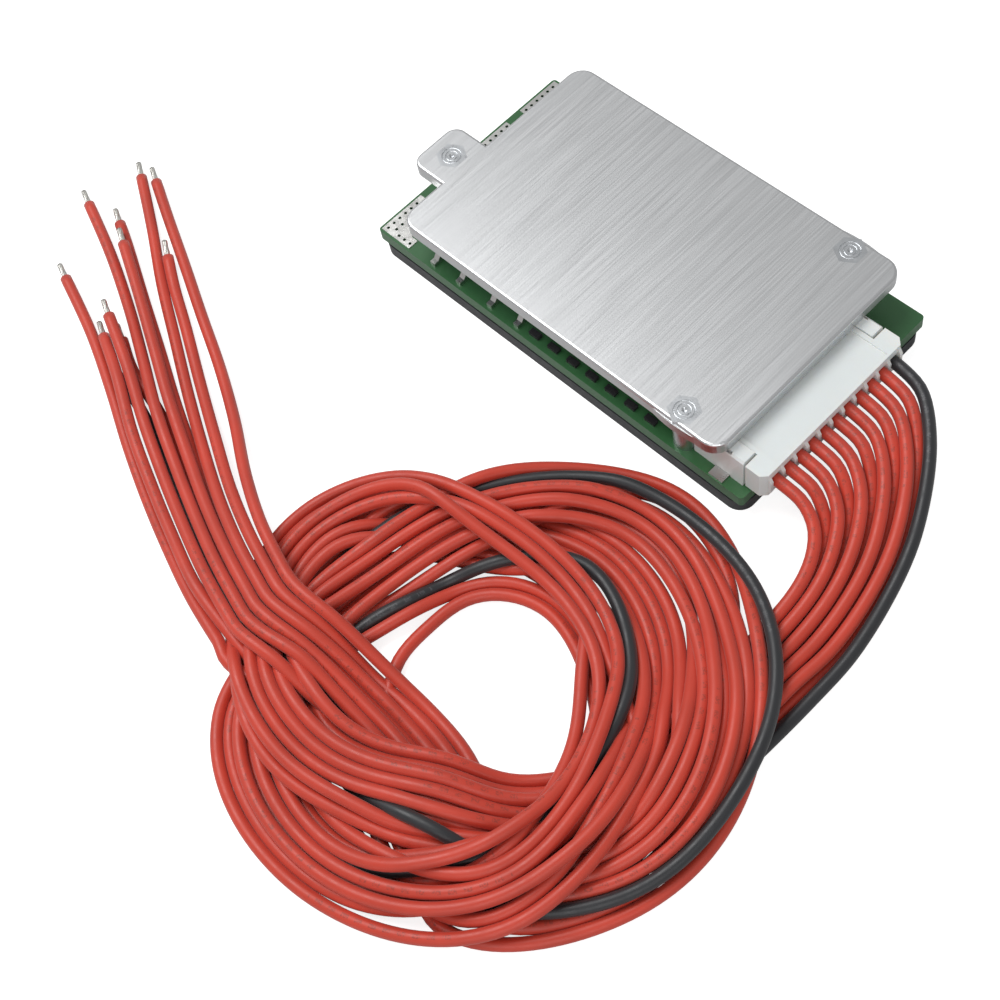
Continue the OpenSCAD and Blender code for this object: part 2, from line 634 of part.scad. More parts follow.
module plug_housing() {
    step_x = header_x + roof_l + 0.15;
    body_w = mouth_w - 2 * plug_clearance;
    panel_w = body_w - 1.2;
    top = nose_z + plug_h;
    color("#ecece8") translate([0, -header_shift, z_top]) difference() {
        union() {
            box(nose_x, flange_x + 0.1, -nose_w / 2, nose_w / 2, nose_z, nose_z + nose_h);
            box(step_x, flange_x + 0.1, -body_w / 2, body_w / 2, nose_z, top);
            flange();
            teeth();
        }
        // The shallow panel between the end ribs.
        box(step_x - 1, exit_x - 0.35, -panel_w / 2, panel_w / 2, top - 0.22, top + 1);
        for (i = [0 : ways - 1]) translate([0, way_y(i) + header_shift, 0]) {
            // Room for the contact and the wire, and the pin's way in.
            box(nose_x + 0.7, exit_x + 2, -cavity_w / 2, cavity_w / 2,
                pin_z - cavity_h / 2, pin_z + cavity_h / 2);
            box(nose_x - 1, nose_x + 1, -pin_d / 2 - 0.1, pin_d / 2 + 0.1,
                pin_z - pin_d / 2 - 0.1, pin_z + pin_d / 2 + 0.1);
            // The latch window under each contact.
            box(nose_x + 1.6, nose_x + 3.4, -0.4, 0.4, nose_z - 1, pin_z);
        }
    }
}

// The wide rear of the plug, its outer corners cut off.
module flange() {
    w = header_w - 0.2;
    top = nose_z + plug_h;
    c = 0.7;
    translate([0, 0, 0.25]) linear_extrude(top - 0.25)
        polygon([[flange_x, -w / 2], [exit_x - c, -w / 2], [exit_x, c - w / 2],
                 [exit_x, w / 2 - c], [exit_x - c, w / 2], [flange_x, w / 2]]);
}

// The walls between the cavities reach back past the flange as short teeth.
module teeth() {
    for (i = [0 : ways])
        translate([exit_x, way_y(i) + header_shift - pitch / 2, pin_z]) along_y(pitch - cavity_w)
            polygon([[0, -1.3], [tooth_l, -1], [tooth_l, 0.8], [0, 1.5]]);
}

module crimp_contacts() {
    x0 = nose_x + 0.8;
    grip = 1.2;
    color("#cfc08a") for (i = [0 : ways - 1]) translate([0, way_y(i), z_axis]) {
        difference() {
            box(x0, x0 + 4, -contact_w / 2, contact_w / 2, -contact_h / 2, contact_h / 2);
            box(x0 - 1, x0 + 3.4, -pin_d / 2 - 0.05, pin_d / 2 + 0.05,
                -pin_d / 2 - 0.05, pin_d / 2 + 0.05);
        }
        box(x0 + 4, crimp_x - grip, -0.45, 0.45, -0.5, 0.1);
        translate([crimp_x - grip, 0, 0]) along_x(grip)
            polygon([[-0.6, -0.6], [0.6, -0.6], [0.65, 0.3], [0.3, 0.65], [0, 0.4], [-0.3, 0.65],
                     [-0.65, 0.3]]);
    }
}

base_plate();
insulating_film();
circuit_board();
solder_pads();
mosfet_bodies();
mosfet_leads();
mosfet_tabs();
thermal_pads();
shunt_resistors();
balance_resistors();
balance_transistors();
protection_chips();
chip_leads();
chip_capacitors();
edge_resistors();
top_plate();
standoffs();
base_screws();
connector_header();
header_pins();
header_anchors();
plug_housing();
crimp_contacts();
wire_coil();
lead(0);  // lead_01
lead(1);  // lead_02
lead(2);  // lead_03
lead(3);  // lead_04
lead(4);  // lead_05
lead(5);  // lead_06
lead(6);  // lead_07
lead(7);  // lead_08
lead(8);  // lead_09
lead(9);  // lead_10
lead(10);  // lead_11
tail(0);  // tail_01
tail(1);  // tail_02
tail(2);  // tail_03
tail(3);  // tail_04
tail(4);  // tail_05
tail(5);  // tail_06
tail(6);  // tail_07
tail(7);  // tail_08
tail(8);  // tail_09
tail(9);  // tail_10
tail(10);  // tail_11
tinned_ends();
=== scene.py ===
import math
import bpy
import numpy as np
from mathutils import Matrix, Vector


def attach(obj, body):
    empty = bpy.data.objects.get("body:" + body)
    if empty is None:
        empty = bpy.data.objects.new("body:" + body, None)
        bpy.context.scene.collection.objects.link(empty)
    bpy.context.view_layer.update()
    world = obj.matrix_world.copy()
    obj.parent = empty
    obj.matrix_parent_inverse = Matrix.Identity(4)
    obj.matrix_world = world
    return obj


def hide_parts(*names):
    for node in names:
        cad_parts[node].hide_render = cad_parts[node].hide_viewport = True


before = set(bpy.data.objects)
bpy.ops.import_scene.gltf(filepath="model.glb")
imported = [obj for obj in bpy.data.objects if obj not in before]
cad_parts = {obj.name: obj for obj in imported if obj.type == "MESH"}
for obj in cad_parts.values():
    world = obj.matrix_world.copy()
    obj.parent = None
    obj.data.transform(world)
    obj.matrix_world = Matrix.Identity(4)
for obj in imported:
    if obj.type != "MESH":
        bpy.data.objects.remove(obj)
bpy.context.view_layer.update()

MM = 0.001
scene = bpy.context.scene
scene.view_settings.view_transform = "Standard"

# ---------------------------------------------------------------- camera, floor and light

FORWARD = Vector((-0.4325, 0.2650, -0.8618)).normalized()
RIGHT = Vector((0.6991, 0.7022, -0.1350))
RIGHT = (RIGHT - FORWARD * RIGHT.dot(FORWARD)).normalized()
UP = RIGHT.cross(FORWARD)
EYE = Vector((88.5, -81.9, 161.0)) * MM

camera_data = bpy.data.cameras.new("camera")
camera_data.lens = 58.3
camera_data.sensor_width = 36
camera_data.clip_start = 0.005
camera = bpy.data.objects.new("camera", camera_data)
scene.collection.objects.link(camera)
turn = Matrix((RIGHT, UP, -FORWARD)).transposed().to_4x4()
camera.matrix_world = Matrix.Translation(EYE) @ turn
scene.camera = camera


def area_light(name, place, target, size, power):
    data = bpy.data.lights.new(name, "AREA")
    data.shape = "DISK"
    data.size = size
    data.energy = power
    lamp = bpy.data.objects.new(name, data)
    scene.collection.objects.link(lamp)
    lamp.location = place
    aim = Vector(target) - Vector(place)
    lamp.rotation_euler = aim.to_track_quat("-Z", "Y").to_euler()
    return lamp


AIM = (0.0, -0.02, 0.0)
area_light("key_light", (-0.35, -0.10, 0.62), AIM, 0.50, 3.3)
area_light("fill_light", (0.45, -0.45, 0.45), AIM, 0.60, 1.5)

world = bpy.data.worlds.new("studio")
scene.world = world
world.use_nodes = True
wt = world.node_tree
background = wt.nodes["Background"]
# Full white behind the object, and a dimmer light on it.
path_node = wt.nodes.new("ShaderNodeLightPath")
level = wt.nodes.new("ShaderNodeMix")
level.data_type = "FLOAT"
level.inputs[2].default_value = 0.45
level.inputs[3].default_value = 1.0
wt.links.new(path_node.outputs["Is Camera Ray"], level.inputs[0])
wt.links.new(level.outputs[0], background.inputs["Strength"])
background.inputs["Color"].default_value = (1, 1, 1, 1)


def new_piece(name, verts, faces, material=None, smooth=False, ride=True):
    mesh = bpy.data.meshes.new(name)
    mesh.from_pydata([tuple(v) for v in verts], [], [tuple(f) for f in faces])
    mesh.update()
    piece = bpy.data.objects.new(name, mesh)
    scene.collection.objects.link(piece)
    if material is not None:
        mesh.materials.append(material)
    if smooth:
        mesh.polygons.foreach_set("use_smooth", [True] * len(mesh.polygons))
    if ride:
        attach(piece, "root")
    return piece


# ---------------------------------------------------------------- the wires' ways, in millimetres

WIRE_D = 1.5
WAYS = 11
BLACK = WAYS - 1
PITCH = 2.0
CONNECTOR_Y = -2.6
PIN_Z = 6.1
CRIMP_X = 29.5
EXIT_X = 31.9
COIL_X, COIL_Y = 22.0, -49.0
LOWEST = 0.8

# Each wire from plug to coil, and from coil to its stripped end. The part's source has the
# same ways, apart from some heights that differ by up to 0.7 mm.
LEADS = [
    [[36, -12.9, 6], [38.6, -14.2, 5.5], [40.2, -16.2, 4.8], [41.2, -18.8, 4], [41.6, -22, 3.1],
     [41.6, -26, 2.5], [41.5, -30.5, 2.4], [41.4, -35, 2.4], [41.2, -40, 2.4]],
    [[36.1, -11, 6], [38.8, -12.5, 4.6], [40.6, -14.8, 3.3], [41.8, -17.8, 2.4], [42.3, -21.3, 1.5],
     [42.4, -25.6, 0.9], [42.3, -30.3, 0.8], [42.2, -35, 0.8], [42, -40, 0.8]],
    [[36.2, -9.1, 6], [39.1, -10.9, 5.5], [41, -13.5, 4.8], [42.4, -16.8, 4], [43.1, -20.6, 3.2],
     [43.2, -25.2, 2.5], [43.1, -30, 2.4], [43, -35, 2.4], [42.8, -40, 2.4]],
    [[36.3, -7.2, 6], [39.3, -9.2, 4.6], [41.5, -12.1, 3.3], [43, -15.7, 2.4], [43.8, -19.9, 1.5],
     [44.1, -24.8, 0.9], [43.9, -30, 0.8], [43.8, -35, 0.8], [43.6, -40, 0.8]],
    [[36.4, -5.3, 6], [39.6, -7.6, 5.5], [41.9, -10.8, 4.8], [43.6, -14.7, 4], [44.6, -19.2, 3.2],
     [44.9, -24.4, 2.5], [44.7, -29.8, 2.4], [44.6, -35, 2.4], [44.4, -40, 2.4]],
    [[36.5, -3.3, 6], [39.8, -5.9, 4.6], [42.3, -9.4, 3.3], [44.3, -13.7, 2.4], [45.3, -18.5, 1.5],
     [45.8, -24, 0.9], [45.5, -29.6, 0.8], [45.4, -35, 0.8], [45.2, -40, 0.8]],
    [[36.6, -1.4, 6], [40, -4.2, 5.5], [42.7, -8, 4.8], [44.9, -12.7, 4], [46.1, -17.8, 3.2],
     [46.6, -23.6, 2.5], [46.3, -29.4, 2.4], [46.2, -35, 2.4], [46, -40, 2.4]],
    [[36.7, 0.5, 6], [40.3, -2.6, 4.6], [43.1, -6.7, 3.3], [45.5, -11.7, 2.4], [46.8, -17.1, 1.5],
     [47.4, -23.2, 0.9], [47.1, -29.2, 0.8], [47, -35, 0.8], [46.8, -40, 0.8]],
    [[36.8, 2.4, 6], [40.5, -0.9, 5.5], [43.6, -5.3, 4.8], [46.1, -10.6, 4], [47.6, -16.4, 3.2],
     [48.3, -22.8, 2.5], [47.9, -29, 2.4], [47.8, -35, 2.4], [47.6, -40, 2.4]],
    [[36.9, 4.3, 6], [40.8, 0.7, 4.6], [44, -4, 3.3], [46.7, -9.6, 2.4], [48.3, -15.7, 1.5],
     [49.1, -22.4, 0.9], [48.8, -28.8, 0.8], [48.6, -35, 0.8], [48.4, -40, 0.8]],
    [[37, 6.2, 6.1], [41, 2.4, 5.6], [44.4, -2.6, 4.9], [47.3, -8.6, 4], [49.1, -15, 3],
     [50.2, -22, 2.2], [50.2, -28.6, 1.7], [50, -35, 1.6], [49.7, -40, 1.6]]
]
TAILS = [
    [[-1, -56.4, 5.4], [-8.5, -54, 4.6], [-16, -50.6, 3.3], [-24, -46.2, 1.6], [-32, -42.2, 0.8],
     [-40, -38.6, 0.8], [-48, -34.9, 0.8], [-56, -31.3, 0.8], [-62, -28.5, 0.8]],
    [[-1, -58, 5.4], [-8.5, -55.8, 4.6], [-16, -53, 3.3], [-24, -49.3, 1.8], [-32, -45.4, 0.8],
     [-40, -41.2, 0.8], [-46, -38.2, 0.9], [-50.3, -35.7, 1.3]],
    [[-1, -59.6, 5.4], [-8.5, -57.5, 4.6], [-16, -54.8, 3.2], [-24, -51.3, 1.6], [-32, -47.4, 0.8],
     [-40, -43.1, 0.8], [-48, -38.8, 0.8], [-56, -34, 0.8], [-64.3, -29.3, 0.8]],
    [[-1, -61.2, 5.4], [-8.5, -59.1, 4.6], [-16, -56.6, 3.3], [-24, -53.4, 2.4], [-32, -49.9, 2.3],
     [-40, -46, 2.3], [-48, -42.1, 2.3], [-55.9, -38.4, 2.3]],
    [[-1, -60.4, 3.8], [-8.5, -58.3, 3], [-16, -55.8, 1.7], [-24, -52.8, 0.8], [-32, -49.4, 0.8],
     [-40, -45.6, 0.8], [-48, -41.9, 0.8], [-56, -38.1, 0.8], [-60.3, -36.2, 0.8]],
    [[-1, -62.8, 5.4], [-8.5, -60.8, 4.6], [-16, -58.3, 3.3], [-24, -55.3, 2.4], [-32, -51.9, 2.5],
     [-40, -48, 1.7], [-48, -44.2, 0.9], [-57, -40.3, 0.8], [-66.3, -36.9, 0.8]],
    [[-1, -62, 3.8], [-8.5, -60, 3], [-16, -57.5, 1.7], [-24, -54.8, 0.8], [-32, -51.7, 0.8],
     [-40, -49.9, 0.8], [-45, -47.8, 0.8]],
    [[-1, -64.4, 5.4], [-8.5, -62.5, 4.6], [-16, -60.1, 3.3], [-24, -57.2, 2.4], [-32, -53.9, 2.4],
     [-40, -50.2, 2.4], [-48.1, -46.9, 2.4]],
    [[-1, -65.2, 3.8], [-8.5, -64.1, 4.2], [-16, -61.8, 3.2], [-24, -59, 2.4], [-32, -55.8, 2.4],
     [-40, -51.9, 2.4], [-46.6, -49.2, 1.7]],
    [[-1, -66.8, 3.8], [-8.5, -65.2, 2.9], [-16, -63, 1.8], [-24, -60.3, 0.9], [-32, -57.1, 0.8],
     [-40, -53.5, 0.8], [-49, -49.8, 0.8], [-58.8, -46.6, 0.8]],
    [[-1, -63.6, 3.8], [-8.5, -61.7, 3], [-16, -59.3, 1.7], [-24, -56.6, 0.8], [-32, -53.6, 0.8],
     [-40.4, -51.4, 0.8]]
]

# The tail that each lead goes on to after its turns.
ONTO = [1, 4, 0, 3, 6, 2, 8, 5, 7, 9, 10]

# The turns: the angle round the coil's middle in degrees, each wire's distance from that
# middle, and the layer it starts in, counted in wire thicknesses. None leaves a wire out.
TURNS = [
    (-15, [16, 16.8, 17.6, 18.4, 19.2, 20, 20.8, 21.6, 22.4, 23.2, 24.6],
     [1, 0, 1, 0, 1, 0, 1, 0, 1, 0, 0.5]),
    (-38, [14, 14.8, 15.6, 16.4, 17.2, 18, 18.8, 19.4, 20.2, 20.8, 21.6],
     [1.6, 0.6, 1.6, 0.6, 1.6, 0.6, 1.6, 0.6, 1.6, 0.6, 0.6]),
    (-60, [12.6, 13.3, 14.1, 14.8, 15.6, 16.3, 17.7, 17.9, 19.3, 19.6, 18.8],
     [3, 2, 3, 2, 3, 2, 3, 2, 2, 1.4, 2.6]),
    (-85, [13.6, 14.4, 15.1, 15.9, 16.6, 17.4, 18.2, 18.9, 19.7, 20.4, 18.2],
     [3, 2, 3, 2, 3, 2, 3, 2, 3, 2, 2]),
    (-108, [16.2, 17.0, 17.8, 18.6, 19.4, 20.2, 21, 21.8, 22.6, 23.4, 17.9],
     [3, 2, 3, 2, 3, 2, 3, 2, 3, 2, 1.6]),
    (-140, [20.6, 18.4, 22.2, 21.2, 23.8, 23.0, 25.4, 24.6, 27, 26.2, 18.2],
     [2.6, 1, 2.6, 1.6, 2.6, 1.6, 2.6, 1.6, 2.6, 1.6, 1]),
    (-160, [22.6, 14, 24.2, 20.2, 25.6, 24.9, 27.1, 26.4, 28.6, 27.9, 15.6],
     [1, 1, 1, 0, 1, 0, 1, 0, 1, 0, 1]),
    (-180, [22.6, 11.4, 24.2, 18.6, 25.8, 25.0, 27.4, 26.6, 29, 28.2, 12.8],
     [1, 1, 1, 0, 1, 0, 1, 0, 1, 0, 1]),
    (-205, [17.6, 10.8, 19.4, 15.6, 22, 20.2, 23.2, 21.8, 24.6, 23.4, 12.4],
     [0, 0, 0, 0, 3, 0, 3, 0, 3, 0, 0]),
    (-225, [14.6, 10.9, 15.8, 13.6, 18, 16.8, 16.4, 18.2, 19.2, 19.8, 12.4],
     [0, 0, 0, 0, 2.6, 0, 3, 0, 3, 0, 1]),
    (-270, [13.2, 11.6, 15.5, 14.8, 13.5, 16.2, 12.3, 17.7, 14.7, 19, 16.3],
     [0, 0, 0, 0, 1, 0, 2, 0, 2, 0, 1]),
    (-315, [14.2, 12.8, 11.8, 15.6, 14, 17, 12.9, 18.3, 14.9, 19.8, 16],
     [0, 0, 1, 0, 1, 1, 2, 0, 2, 0, 1]),
    (-360, [20.5, 19, 15.2, 18.2, 22, 19.8, 16, 21.3, 16.7, 23, 17.4],
     [2, 2, 2, 3, 2, 3, 2, 3, 3, 3, 2]),
    (-400, [19.6, 22.8, 21.5, 23.5, 24.4, 26, 20.6, 25, 22, 28.2, 21.2],
     [2, 2, 2, 3, 2, 2, 3, 3, 2, 3.4, 2]),
    (-445, [23.3, 26.3, 19.6, 25.5, 27.8, 22, 24, 27, 22.5, 28.8, 24.8],
     [0, 0, 0, 1, 0, 0, 1, 1, 1, 1, 0]),
    (-490, [22.4, 25.4, None, 24.4, 26.9, 21.1, 22.9, 26, 21.4, 27.8, 23.9],
     [0, 0, 0, 1, 0, 0, 1, 1, 1, 1, 0]),
    (-540, [16.5, 22.4, 8.4, 17.4, 14.8, 15.6, 18.3, 19.2, 20.1, 21, 21.6],
     [0, 0, 0, 1, 0, 1, 0, 1, 0, 1, 0]),
    (-580, [17.3, 22.2, 9.8, 18.4, 15.8, 16.6, 18.9, 20, 20.4, 21.6, 21.2],
     [1, 1, 0, 2, 1, 2, 1, 2, 1, 2, 1]),
    (-630, [23.3, 22, 11.3, 24, 27.9, 22.6, 24.8, 25.5, 26.3, 29, 27.2],
     [0, 0, 0, 1, 0, 1, 0, 1, 0, 0, 1]),
    (-675, [23.4, 22.9, 12.5, 24.7, 27.5, 23.9, 25.9, 26.4, 27.2, 29.9, 30.6],
     [2, 1, 0, 2, 1, 2, 1, 2, 1, 2, 3]),
    (-710, [23.5, 24.2, 15.5, 26.5, 25.8, 25, 27.3, 28, 28.8, 30.9, 29.6],
     [3, 2, 2, 3, 2, 3, 2, 3, 2, 1.6, 3]),
    (-735, [22.6, 23.3, 17, 25.6, 24.9, 24.1, 26.4, 27.1, 27.9, 29.9, 28.6],
     [1, 0, 1, 1, 0, 1, 0, 1, 0, 0, 1]),
]

# The run under the coil's lower side: x, then the y and the layer of each tail.
RUN = [
    (36, [-60.2, -61.6, -62.4, -64.0, -63.1, -66.2, -65.3, -68.2, -69.0, -69.9, -66.9],
     [0, 1, 0, 1, 0, 1, 0, 1, 0, 1, 0]),
    (29, [-58.9, -60.1, -60.7, -62.2, -61.6, -64.2, -63.4, -65.9, -66.6, -67.4, -65.0],
     [0, 1, 0, 1, 0, 1, 0, 1, 0, 1, 0]),
    (21, [-57.9, -58.7, -59.5, -60.9, -60.3, -62.5, -61.9, -64.1, -65.0, -65.7, -63.4],
     [0, 1, 0, 1, 0, 1, 0, 1, 0, 1, 0]),
    (13, [-57.3, -58.3, -59.4, -60.9, -60.1, -62.4, -61.6, -64.0, -64.8, -65.9, -63.2],
     [1, 1, 1, 2, 1, 2, 1, 2, 1, 1, 1]),
    (6, [-56.9, -58.2, -59.6, -61.2, -60.3, -62.7, -61.8, -64.3, -65.1, -66.4, -63.5],
     [3, 3, 3, 3, 2, 3, 2, 3, 2, 2, 2]),
]

# One wire leaves the turns at this angle and takes a shorter way through the coil.
SHORT_WIRE, SHORT_ANGLE = 2, -445
SHORT_WAY = [[31, -69.3, 0.8], [26, -67.5, 0.8], [20, -62.3, 0.8], [17, -58.5, 0.8],
             [14.5, -55, 0.8]]


def stations(w):
    """The points that a wire passes between its lead and its tail."""
    points = []
    for angle, radii, layers in TURNS:
        if w == SHORT_WIRE and angle == SHORT_ANGLE:
            points += SHORT_WAY
        elif radii[w] is not None:
            a = np.radians(angle)
            points.append([COIL_X + radii[w] * np.cos(a), COIL_Y + radii[w] * np.sin(a),
                           LOWEST + WIRE_D * layers[w]])
    tail = ONTO[w]
    points += [[x, ys[tail], LOWEST + WIRE_D * layers[tail]] for x, ys, layers in RUN]
    return np.array(points)


def along(a, b, c, d, t):
    return 0.5 * (2 * b + (c - a) * t + (2 * a - 5 * b + 4 * c - d) * t * t
                  + (3 * b - 3 * c + d - a) * t ** 3)


def smooth_points(points, n):
    p = np.array(points, float)
    last = len(p) - 1
    out = [along(p[max(i - 1, 0)], p[i], p[i + 1], p[min(i + 2, last)], k / n)
           for i in range(last) for k in range(n)]
    return np.array(out + [p[-1]])


def unit(v):
    return v / np.linalg.norm(v)


def even_steps(points, step):
    gone = np.concatenate([[0], np.cumsum(np.linalg.norm(np.diff(points, axis=0), axis=1))])
    t = np.linspace(0, gone[-1], max(int(round(gone[-1] / step)), 2) + 1)
    return np.stack([np.interp(t, gone, points[:, k]) for k in range(3)], 1)


def curve_through(points, first, last):
    """A cubic through the points on chord length, with given directions at its ends."""
    p = np.asarray(points, float)
    h = np.linalg.norm(np.diff(p, axis=0), axis=1)
    n = len(p)
    a = np.zeros((n, n))
    b = np.zeros((n, 3))
    a[0, 0] = a[-1, -1] = 1
    b[0], b[-1] = first, last
    for i in range(1, n - 1):
        a[i, i - 1:i + 2] = h[i], 2 * (h[i - 1] + h[i]), h[i - 1]
        b[i] = 3 * (h[i] * (p[i] - p[i - 1]) / h[i - 1] + h[i - 1] * (p[i + 1] - p[i]) / h[i])
    m = np.linalg.solve(a, b)
    out = []
    for i in range(n - 1):
        t = np.arange(max(int(h[i] * 4), 2))[:, None] / max(int(h[i] * 4), 2)
        out.append((2 * t ** 3 - 3 * t ** 2 + 1) * p[i] + (t ** 3 - 2 * t ** 2 + t) * h[i] * m[i]
                   + (3 * t ** 2 - 2 * t ** 3) * p[i + 1] + (t ** 3 - t ** 2) * h[i] * m[i + 1])
    return np.concatenate(out + [p[-1:]])


def wire_parts(w):
    y = CONNECTOR_Y + (w - (WAYS - 1) / 2) * PITCH
    lead = smooth_points([[CRIMP_X, y, PIN_Z], [EXIT_X + 1, y, PIN_Z]] + LEADS[w], 6)
    tail = smooth_points(TAILS[ONTO[w]], 6)
    away = unit(np.subtract(TAILS[ONTO[w]][1], TAILS[ONTO[w]][0]))
    turns = curve_through(np.vstack([lead[-1], stations(w), tail[0]]), (0, -1, 0), away)
    return even_steps(lead, 1), even_steps(turns, 1), even_steps(tail, 1)


# How the wires settle: the rounds, how often neighbours are looked up and how far beyond a
# diameter, the points of a wire too near along it to count, and the moves of each round.
ROUNDS = 260
LOOK_EVERY, LOOK_BEYOND, BLOCK = 10, 1.1, 600
OWN_NEAR = 6
SINK, SINK_PART, PUSH, EASE = 0.02, 0.7, 0.35, 0.25
END_EASE = 6


def settle(parts, rounds):
    """Lets the wound part of the wires sink while wires that meet push each other away.

    They end closer than a diameter in crowded places, where some still cut through others.
    """
    touch = WIRE_D * 1.012
    points, free, wire, index = [], [], [], []
    for w, (lead, turns, tail) in enumerate(parts):
        p = np.vstack([lead[:-1], turns, tail[1:]])
        f = np.zeros(len(p))
        s = np.arange(len(turns))
        f[len(lead) - 1:len(lead) - 1 + len(turns)] = np.minimum(np.minimum(s, s[::-1]) / END_EASE, 1)
        points.append(p)
        free.append(f)
        wire.append(np.full(len(p), w))
        index.append(np.arange(len(p)))
    ends = np.cumsum([0] + [len(p) for p in points])
    start = np.vstack(points)
    free, wire, index = (np.concatenate(x) for x in (free, wire, index))
    p = start.copy()
    seams = ends[1:-1]
    for turn in range(rounds):
        if turn % LOOK_EVERY == 0:
            q = p.astype(np.float32)
            size = (q * q).sum(1)
            near = []
            for s in range(0, len(q), BLOCK):
                d2 = size[s:s + BLOCK, None] + size[None] - 2 * q[s:s + BLOCK] @ q.T
                i, j = np.nonzero(d2 < (WIRE_D + LOOK_BEYOND) ** 2)
                i = i + s
                keep = (j > i) & ((wire[i] != wire[j]) | (abs(index[i] - index[j]) > OWN_NEAR))
                near.append((i[keep], j[keep]))
            first = np.concatenate([a for a, b in near])
            second = np.concatenate([b for a, b in near])
        if turn < rounds * SINK_PART:
            p[:, 2] -= SINK * free
        v = p[second] - p[first]
        d = np.linalg.norm(v, axis=1) + 1e-9
        hit = d < touch
        i, j = first[hit], second[hit]
        push = v[hit] / d[hit, None] * ((touch - d[hit]) * PUSH)[:, None]
        total = free[i] + free[j] + 1e-9
        move = np.zeros_like(p)
        np.add.at(move, i, -push * (free[i] / total)[:, None])
        np.add.at(move, j, push * (free[j] / total)[:, None])
        hits = np.bincount(i, minlength=len(p)) + np.bincount(j, minlength=len(p))
        p += move / np.sqrt(np.maximum(hits, 1))[:, None]
        p[:, 2] = np.where(free > 0, np.maximum(p[:, 2], WIRE_D / 2 + 0.02), p[:, 2])
        shift = p - start
        for again in range(2):
            new = shift.copy()
            new[1:-1] += EASE * free[1:-1, None] * (shift[2:] - 2 * shift[1:-1] + shift[:-2])
            new[seams], new[seams - 1] = shift[seams], shift[seams - 1]
            shift = new
        p = start + shift
    return [p[ends[k]:ends[k + 1]] for k in range(len(points))]


def sweep(points, radius, sides, profile=None, twist=0.0):
    """Rings of a tube along the points, in mm. Returns vertices, faces and lengthways values."""
    p = np.asarray(points, float)
    t = np.gradient(p, axis=0)
    t /= np.linalg.norm(t, axis=1)[:, None]
    u = unit(np.cross((0, 0, 1), t[0]))
    verts, gone = [], [0.0]
    for i in range(len(p)):
        if i:
            u = u - t[i] * (u @ t[i])
            u /= np.linalg.norm(u)
            gone.append(gone[-1] + np.linalg.norm(p[i] - p[i - 1]))
        v = np.cross(t[i], u)
        for k in range(sides):
            a = 2 * math.pi * k / sides + twist * gone[-1]
            r = radius * (profile(k / sides) if profile else 1)
            verts.append((p[i] + r * (math.cos(a) * u + math.sin(a) * v)) * MM)
    faces = []
    for i in range(len(p) - 1):
        for k in range(sides):
            n = (k + 1) % sides
            faces.append((i * sides + k, i * sides + n, (i + 1) * sides + n, (i + 1) * sides + k))
    return verts, faces, gone


def tube_piece(name, points, radius, sides, material):
    """A closed tube along the points, with a map of length and turn for the print."""
    verts, faces, gone = sweep(points, radius, sides)
    last = (len(points) - 1) * sides
    faces.insert(0, tuple(range(sides - 1, -1, -1)))
    faces.append(tuple(range(last, last + sides)))
    piece = new_piece(name, verts, faces, material, smooth=True, ride=False)
    mesh = piece.data
    layer = mesh.uv_layers.new(name="along")
    uv = np.zeros((len(mesh.loops), 2), np.float32)
    loop = 0
    for face in mesh.polygons:
        ring = [v // sides for v in face.vertices]
        around = [v % sides for v in face.vertices]
        wraps = max(around) - min(around) > 1 and len(face.vertices) == 4
        for r, a in zip(ring, around):
            uv[loop] = gone[r] * MM, ((a + sides if wraps and a == 0 else a) / sides)
            loop += 1
    layer.data.foreach_set("uv", uv.ravel())
    mesh.polygons[0].use_smooth = False
    mesh.polygons[len(mesh.polygons) - 1].use_smooth = False
    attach(piece, "root")
    return piece


# ---------------------------------------------------------------- materials


class Nodes:
    """A material's node tree, with short calls for the nodes used here."""

    def __init__(self, name, colour, rough, metal=0.0, **sockets):
        self.material = bpy.data.materials.new(name)
        self.material.use_nodes = True
        self.tree = self.material.node_tree
        self.shader = self.tree.nodes["Principled BSDF"]
        self.set("Base Color", (*colour, 1))
        self.set("Roughness", rough)
        self.set("Metallic", metal)
        for key, value in sockets.items():
            self.set(key.replace("_", " "), value)

    def set(self, socket, value):
        if isinstance(value, bpy.types.NodeSocket):
            self.tree.links.new(value, self.shader.inputs[socket])
        else:
            self.shader.inputs[socket].default_value = value

    def node(self, kind, out=0, props=None, **inputs):
        n = self.tree.nodes.new("ShaderNode" + kind)
        for key, value in (props or {}).items():
            setattr(n, key, value)
        for key, value in inputs.items():
            name = key.replace("_", " ")
            socket = n.inputs[int(name[1:])] if name[0] == "i" and name[1:].isdigit() else n.inputs[name]
            if isinstance(value, bpy.types.NodeSocket):
                self.tree.links.new(value, socket)
            else:
                socket.default_value = value
        return n.outputs[out]

    def place(self, scale=(1, 1, 1)):
        """Object coordinates, in metres times the scale."""
        where = self.node("TexCoord", 3)
        return self.node("Mapping", Vector=where, Scale=scale)

    def noise(self, scale, detail=3.0, vector=None, rough=0.5):
        return self.node("TexNoise", 0, Vector=vector or self.place(), Scale=scale, Detail=detail,
                         Roughness=rough)

    def math(self, operation, a, b=0.0, c=0.0):
        return self.node("Math", 0, {"operation": operation}, i0=a, i1=b, i2=c)

    def range(self, value, low, high, to_low, to_high):
        return self.node("MapRange", 0, Value=value, From_Min=low, From_Max=high, To_Min=to_low,
                         To_Max=to_high)

    def mix(self, factor, a, b):
        pick = self.node("Mix", 2, {"data_type": "RGBA"}, i0=factor,
                         i6=a if isinstance(a, bpy.types.NodeSocket) else (*a, 1),
                         i7=b if isinstance(b, bpy.types.NodeSocket) else (*b, 1))
        return pick

    def bump(self, height, strength, distance):
        self.set("Normal", self.node("Bump", 0, Height=height, Strength=strength, Distance=distance))


def tinted(colour, factor):
    return tuple(min(c * factor, 1) for c in colour)


